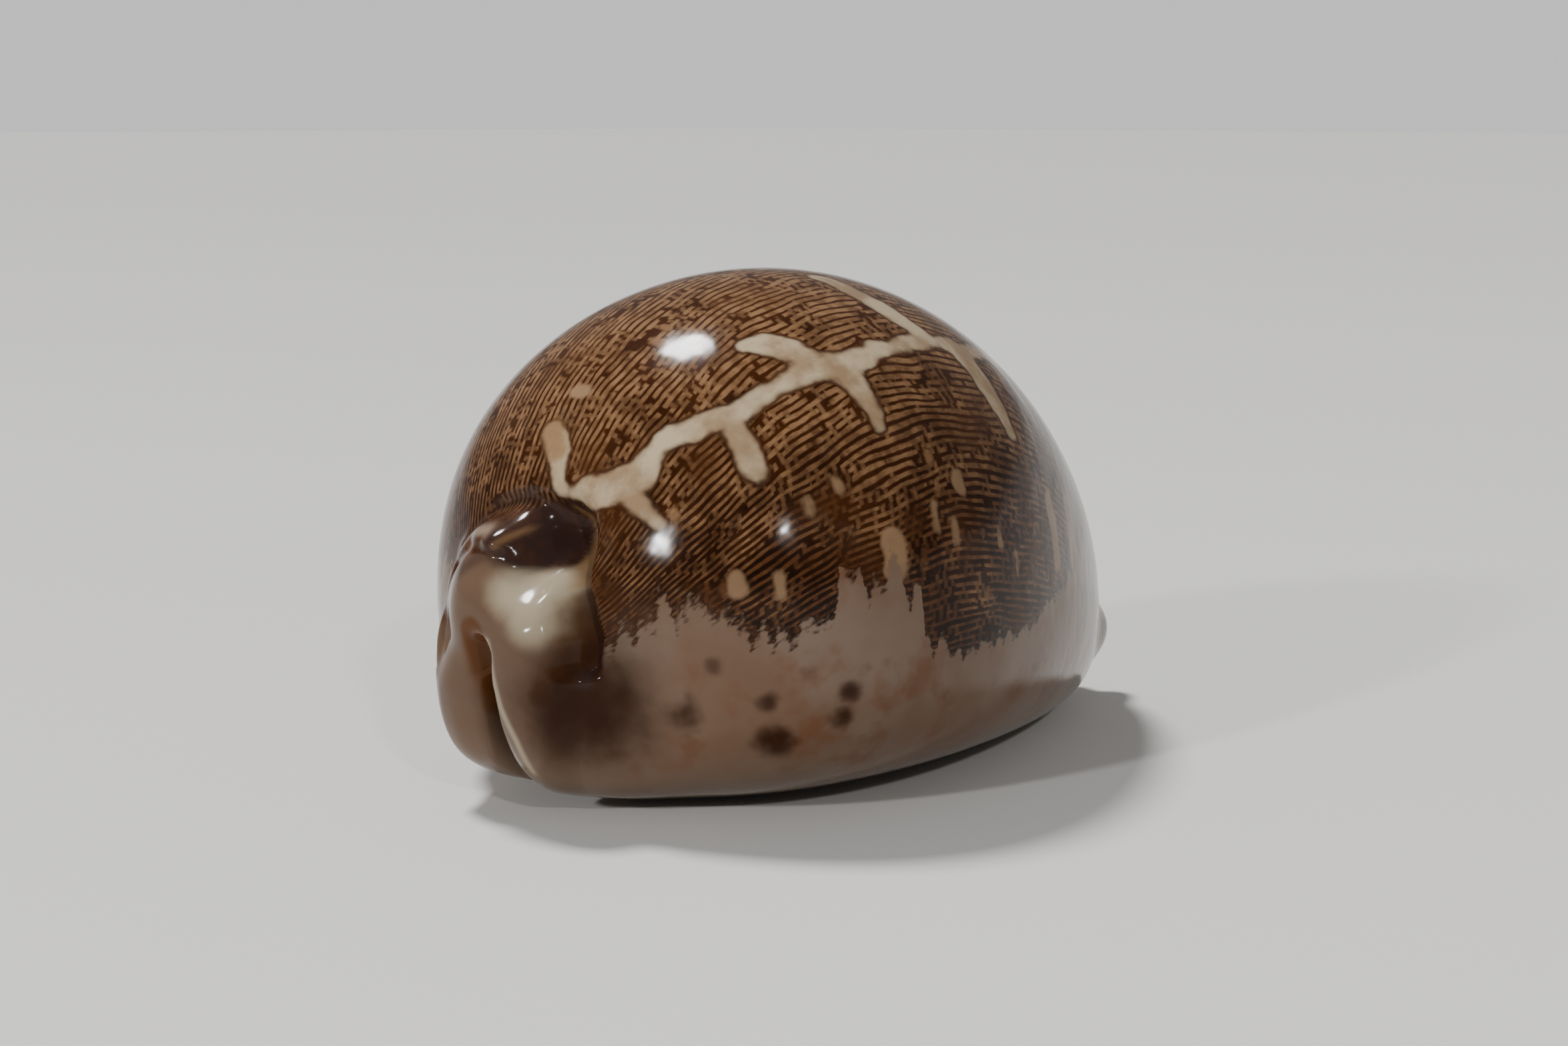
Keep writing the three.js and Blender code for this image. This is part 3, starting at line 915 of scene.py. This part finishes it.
def add_lamp(name, direction, size, watts):
    """A square lamp that faces the shell from a direction."""
    lamp = bpy.data.lights.new(name, "AREA")
    lamp.size = size
    lamp.energy = watts
    holder = bpy.data.objects.new(name, lamp)
    away = Vector(direction).normalized()
    holder.location = Vector((0, 0, MIDDLE_HEIGHT)) + away * LAMP_DISTANCE
    holder.rotation_euler = away.to_track_quat("Z", "Y").to_euler()
    bpy.context.collection.objects.link(holder)


class COWRIE_OT_stage(bpy.types.Operator):
    """Set a plain pale floor, soft lights and the camera"""

    bl_idname = "cowrie.stage"
    bl_label = "Stage"

    def execute(self, context):
        stage = context.scene.cowrie_stage
        shape = bmesh.new()
        bmesh.ops.create_grid(shape, x_segments=1, y_segments=1, size=stage.floor_size / 2)
        mesh = bpy.data.meshes.new("floor")
        shape.to_mesh(mesh)
        shape.free()
        floor = bpy.data.objects.new("floor", mesh)
        context.collection.objects.link(floor)
        paper = bpy.data.materials.new("Pale floor")
        paper.use_nodes = True
        surface = paper.node_tree.nodes["Principled BSDF"]
        surface.inputs["Base Color"].default_value = (*stage.floor_colour, 1)
        surface.inputs["Roughness"].default_value = FLOOR_ROUGHNESS
        mesh.materials.append(paper)

        world = bpy.data.worlds.new("Room")
        world.use_nodes = True
        tree = world.node_tree
        toward = add_node(tree, "ShaderNodeTexCoord", output="Generated")
        up = add_node(tree, "ShaderNodeSeparateXYZ", {0: toward}, output=2)
        near_horizon = ramp(tree, up, *HORIZON_BAND)
        extra = stage.horizon_light - stage.room_light
        light = calc(tree, "MULTIPLY_ADD", near_horizon, extra, stage.room_light)
        tree.links.new(light, tree.nodes["Background"].inputs["Strength"])
        tree.nodes["Background"].inputs["Color"].default_value = (1, 1, 1, 1)
        context.scene.world = world

        sun = bpy.data.lights.new("sun", "SUN")
        sun.energy = stage.sun_strength
        sun.angle = math.radians(SUN_ANGLE)
        holder = bpy.data.objects.new("sun", sun)
        holder.rotation_euler = Vector(SUN_DIRECTION).to_track_quat("Z", "Y").to_euler()
        context.collection.objects.link(holder)
        for name, (direction, size, watts) in LAMPS.items():
            add_lamp(name, direction, size, watts)

        azimuth, elevation = stage.camera_azimuth, stage.camera_elevation
        right = Vector((math.cos(azimuth), math.sin(azimuth), 0))
        level = math.cos(elevation)
        back = Vector((right.y * level, -right.x * level, math.sin(elevation)))
        up = back.cross(right)
        aim = BASE_MIDDLE * MM + Vector((0, 0, MIDDLE_HEIGHT))
        lens = bpy.data.cameras.new("camera")
        lens.sensor_width = SENSOR_WIDTH
        lens.lens = LENS
        lens.clip_start = NEAR_CLIP
        camera = bpy.data.objects.new("camera", lens)
        camera.location = aim + back * stage.camera_distance
        looked_at = aim + right * AIM_SHIFT[0] + up * AIM_SHIFT[1]
        camera.rotation_euler = (camera.location - looked_at).to_track_quat("Z", "Y").to_euler()
        context.collection.objects.link(camera)
        context.scene.camera = camera
        return {"FINISHED"}


class COWRIE_PT_panel(bpy.types.Panel):
    """Lists the pieces in the sidebar"""

    bl_label = "Map Cowrie"
    bl_idname = "COWRIE_PT_panel"
    bl_space_type = "VIEW_3D"
    bl_region_type = "UI"
    bl_category = "Cowrie"

    def draw(self, context):
        for operator in (COWRIE_OT_shell, COWRIE_OT_stage):
            self.layout.operator(operator.bl_idname)
        for group in GROUPS:
            settings = getattr(context.scene, group)
            for name in GROUPS[group].__annotations__:
                self.layout.prop(settings, name)


GROUPS = {
    "cowrie_shell": ShellSettings,
    "cowrie_glaze": GlazeSettings,
    "cowrie_stage": StageSettings,
}
CLASSES = (*GROUPS.values(), COWRIE_OT_shell, COWRIE_OT_stage, COWRIE_PT_panel)


def register():
    for cls in CLASSES:
        bpy.utils.register_class(cls)
    for name, cls in GROUPS.items():
        setattr(bpy.types.Scene, name, bpy.props.PointerProperty(type=cls))


def unregister():
    for name in GROUPS:
        delattr(bpy.types.Scene, name)
    for cls in reversed(CLASSES):
        bpy.utils.unregister_class(cls)


def main():
    register()
    bpy.ops.cowrie.shell()
    bpy.ops.cowrie.stage()


if __name__ == "__main__":
    main()
